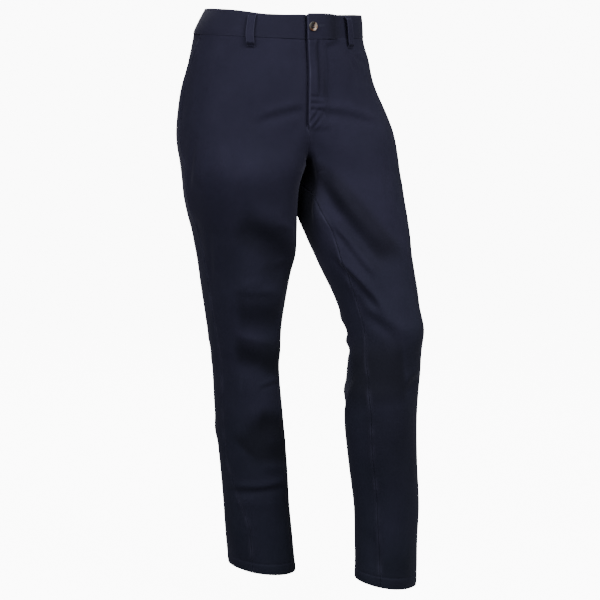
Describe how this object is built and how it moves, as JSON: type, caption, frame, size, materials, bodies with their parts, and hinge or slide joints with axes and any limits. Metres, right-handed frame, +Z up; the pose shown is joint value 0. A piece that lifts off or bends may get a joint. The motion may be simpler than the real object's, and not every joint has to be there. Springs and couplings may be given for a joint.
{
  "type": "chino trousers",
  "caption": "Plain navy cotton chino trousers in the hollow form they keep when worn, stepping forward on the left leg, open at waist and hems.",
  "frame": {"origin": "middle of the waist opening, halfway up the waistband, where the wearer holds the trousers up", "axes": "+Z up along the body, -Y out of the front, +X to the wearer's left"},
  "size_m": [0.4037, 0.3976, 1.0633],
  "materials": {
    "navy_twill": "fine cotton twill, faintly brushed, matt with a slight sheen",
    "horn_button": "polished brown horn-like resin"
  },
  "bodies": {
    "root": {"front_right": "navy_twill", "back_right": "navy_twill", "pocket_facing_right": "navy_twill", "waistband_right": "navy_twill", "belt_loop_front_right": "navy_twill", "belt_loop_back_right": "navy_twill", "front_left": "navy_twill", "back_left": "navy_twill", "pocket_facing_left": "navy_twill", "waistband_left": "navy_twill", "belt_loop_front_left": "navy_twill", "belt_loop_back_left": "navy_twill", "belt_loop_centre_back": "navy_twill", "waist_button": "horn_button"}
  },
  "joints": []
}
